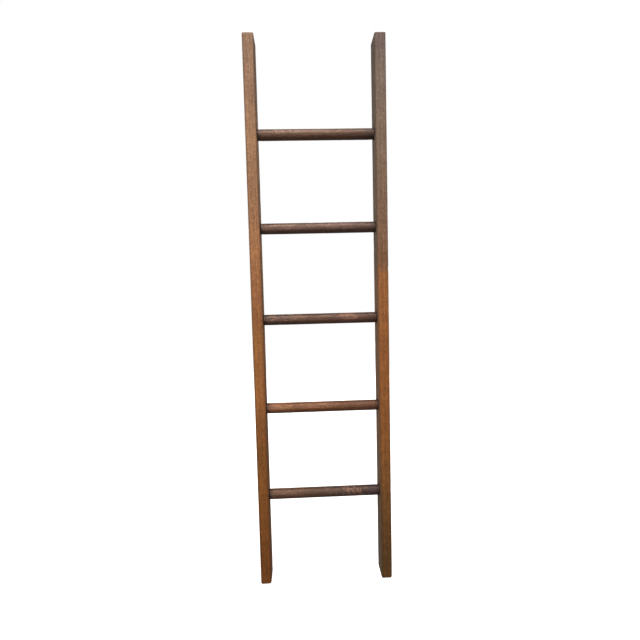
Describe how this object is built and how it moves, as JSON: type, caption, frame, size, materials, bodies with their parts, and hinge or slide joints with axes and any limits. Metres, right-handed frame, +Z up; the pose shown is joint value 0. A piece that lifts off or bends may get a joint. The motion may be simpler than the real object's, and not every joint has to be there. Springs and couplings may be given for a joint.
{
  "type": "wooden ladder",
  "caption": "Straight wooden ladder: rectangular rails set on edge, evenly spaced round rungs tenoned through them and nailed, all in a worn brown stain.",
  "frame": {"origin": "on the floor, midway between the two rails and midway through their depth", "axes": "+X across the ladder to the right seen from the front, +Y from the rails' front edges to their back edges, +Z up along the rails"},
  "size_m": [0.4572, 0.08, 1.8288],
  "materials": {
    "rail_wood": "satin stain, worn, paler towards the top",
    "rung_wood": "dark stain, polished by hands and feet, rubbed through in patches",
    "nail_steel": "dull, lightly rusted"
  },
  "bodies": {
    "root": {"left_rail": "rail_wood", "right_rail": "rail_wood", "rung_1": "rung_wood", "rung_2": "rung_wood", "rung_3": "rung_wood", "rung_4": "rung_wood", "rung_5": "rung_wood", "left_rail_nails": "nail_steel", "right_rail_nails": "nail_steel"}
  },
  "joints": []
}
